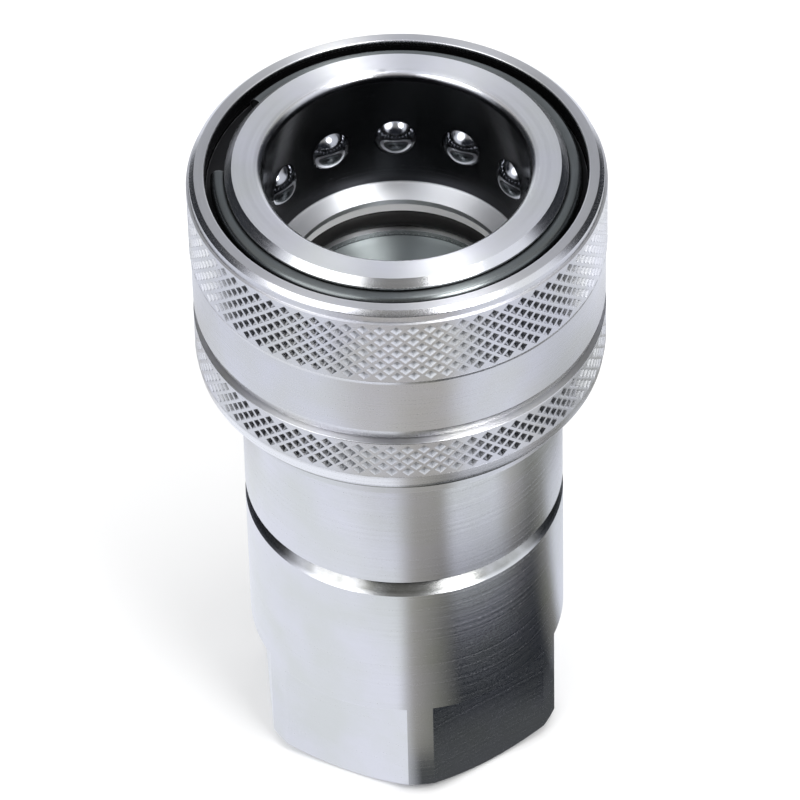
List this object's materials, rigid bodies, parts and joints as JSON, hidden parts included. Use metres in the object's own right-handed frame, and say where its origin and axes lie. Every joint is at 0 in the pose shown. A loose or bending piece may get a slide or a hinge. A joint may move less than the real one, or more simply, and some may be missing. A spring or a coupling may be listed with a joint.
{
  "type": "quick disconnect coupler",
  "caption": "Female quick disconnect coupler with a knurled sliding sleeve, ball lock, sealed socket, spring-closed poppet valve and a female pipe port with wrench flats.",
  "frame": {"origin": "centre of the rear end face, where the pipe port opens", "axes": "+Z along the axis from the pipe port towards the mouth; one corner of the hexagon lies on -Y"},
  "size_m": [0.038, 0.038, 0.0675],
  "materials": {
    "plated_steel": "bright zinc or nickel plate over turned steel, fine turning marks",
    "turned_steel": "turned, bright plated",
    "dark_steel": "black phosphate, dull",
    "spring_steel": "drawn wire, light oil",
    "ball_steel": "hardened and polished",
    "seal_rubber": "black nitrile, slight grease sheen",
    "seal_plastic": "white PTFE"
  },
  "bodies": {
    "body": {"front_body": "plated_steel", "rear_body": "plated_steel", "stop_washer": "dark_steel", "retaining_ring": "spring_steel", "probe_seal": "seal_rubber", "backup_ring": "seal_plastic", "body_seal": "seal_rubber", "poppet_guide": "turned_steel"},
    "sleeve_carrier": {"sleeve_spring": "spring_steel"},
    "sleeve": {"locking_sleeve": "plated_steel"},
    "poppet": {"poppet": "turned_steel", "poppet_seal": "seal_rubber", "poppet_spring": "spring_steel"},
    "locking_ball_01": {"locking_ball_01": "ball_steel"},
    "locking_ball_02": {"locking_ball_02": "ball_steel"},
    "locking_ball_03": {"locking_ball_03": "ball_steel"},
    "locking_ball_04": {"locking_ball_04": "ball_steel"},
    "locking_ball_05": {"locking_ball_05": "ball_steel"},
    "locking_ball_06": {"locking_ball_06": "ball_steel"},
    "locking_ball_07": {"locking_ball_07": "ball_steel"},
    "locking_ball_08": {"locking_ball_08": "ball_steel"},
    "locking_ball_09": {"locking_ball_09": "ball_steel"},
    "locking_ball_10": {"locking_ball_10": "ball_steel"},
    "locking_ball_11": {"locking_ball_11": "ball_steel"},
    "locking_ball_12": {"locking_ball_12": "ball_steel"}
  },
  "joints": [
    {"name": "sleeve_slide", "type": "slide", "parent": "body", "child": "sleeve_carrier", "axis": [0, 0, -1], "range_m": [0, 0.0055], "stiffness_N_per_m": 1800, "springref_m": -0.012, "deforming": ["sleeve_spring"]},
    {"name": "sleeve_spin", "type": "hinge", "parent": "sleeve_carrier", "child": "sleeve", "pos_m": [0, 0, 0.055], "axis": [0, 0, 1], "continuous": true},
    {"name": "poppet_slide", "type": "slide", "parent": "body", "child": "poppet", "axis": [0, 0, -1], "range_m": [0, 0.006], "stiffness_N_per_m": 1500, "springref_m": -0.008, "deforming": ["poppet_spring"]},
    {"name": "locking_ball_01_slide", "type": "slide", "parent": "body", "child": "locking_ball_01", "axis": [0.8957, 0.4446, 0], "range_m": [0, 0.0012]},
    {"name": "locking_ball_02_slide", "type": "slide", "parent": "body", "child": "locking_ball_02", "axis": [0.5534, 0.8329, 0], "range_m": [0, 0.0012]},
    {"name": "locking_ball_03_slide", "type": "slide", "parent": "body", "child": "locking_ball_03", "axis": [0.0628, 0.998, 0], "range_m": [0, 0.0012]},
    {"name": "locking_ball_04_slide", "type": "slide", "parent": "body", "child": "locking_ball_04", "axis": [-0.4446, 0.8957, 0], "range_m": [0, 0.0012]},
    {"name": "locking_ball_05_slide", "type": "slide", "parent": "body", "child": "locking_ball_05", "axis": [-0.8329, 0.5534, 0], "range_m": [0, 0.0012]},
    {"name": "locking_ball_06_slide", "type": "slide", "parent": "body", "child": "locking_ball_06", "axis": [-0.998, 0.0628, 0], "range_m": [0, 0.0012]},
    {"name": "locking_ball_07_slide", "type": "slide", "parent": "body", "child": "locking_ball_07", "axis": [-0.8957, -0.4446, 0], "range_m": [0, 0.0012]},
    {"name": "locking_ball_08_slide", "type": "slide", "parent": "body", "child": "locking_ball_08", "axis": [-0.5534, -0.8329, 0], "range_m": [0, 0.0012]},
    {"name": "locking_ball_09_slide", "type": "slide", "parent": "body", "child": "locking_ball_09", "axis": [-0.0628, -0.998, 0], "range_m": [0, 0.0012]},
    {"name": "locking_ball_10_slide", "type": "slide", "parent": "body", "child": "locking_ball_10", "axis": [0.4446, -0.8957, 0], "range_m": [0, 0.0012]},
    {"name": "locking_ball_11_slide", "type": "slide", "parent": "body", "child": "locking_ball_11", "axis": [0.8329, -0.5534, 0], "range_m": [0, 0.0012]},
    {"name": "locking_ball_12_slide", "type": "slide", "parent": "body", "child": "locking_ball_12", "axis": [0.998, -0.0628, 0], "range_m": [0, 0.0012]}
  ],
  "couplings": [
    {"joint": "locking_ball_01_slide", "follows": "sleeve_slide", "ratio": 0.218},
    {"joint": "locking_ball_02_slide", "follows": "sleeve_slide", "ratio": 0.218},
    {"joint": "locking_ball_03_slide", "follows": "sleeve_slide", "ratio": 0.218},
    {"joint": "locking_ball_04_slide", "follows": "sleeve_slide", "ratio": 0.218},
    {"joint": "locking_ball_05_slide", "follows": "sleeve_slide", "ratio": 0.218},
    {"joint": "locking_ball_06_slide", "follows": "sleeve_slide", "ratio": 0.218},
    {"joint": "locking_ball_07_slide", "follows": "sleeve_slide", "ratio": 0.218},
    {"joint": "locking_ball_08_slide", "follows": "sleeve_slide", "ratio": 0.218},
    {"joint": "locking_ball_09_slide", "follows": "sleeve_slide", "ratio": 0.218},
    {"joint": "locking_ball_10_slide", "follows": "sleeve_slide", "ratio": 0.218},
    {"joint": "locking_ball_11_slide", "follows": "sleeve_slide", "ratio": 0.218},
    {"joint": "locking_ball_12_slide", "follows": "sleeve_slide", "ratio": 0.218}
  ]
}
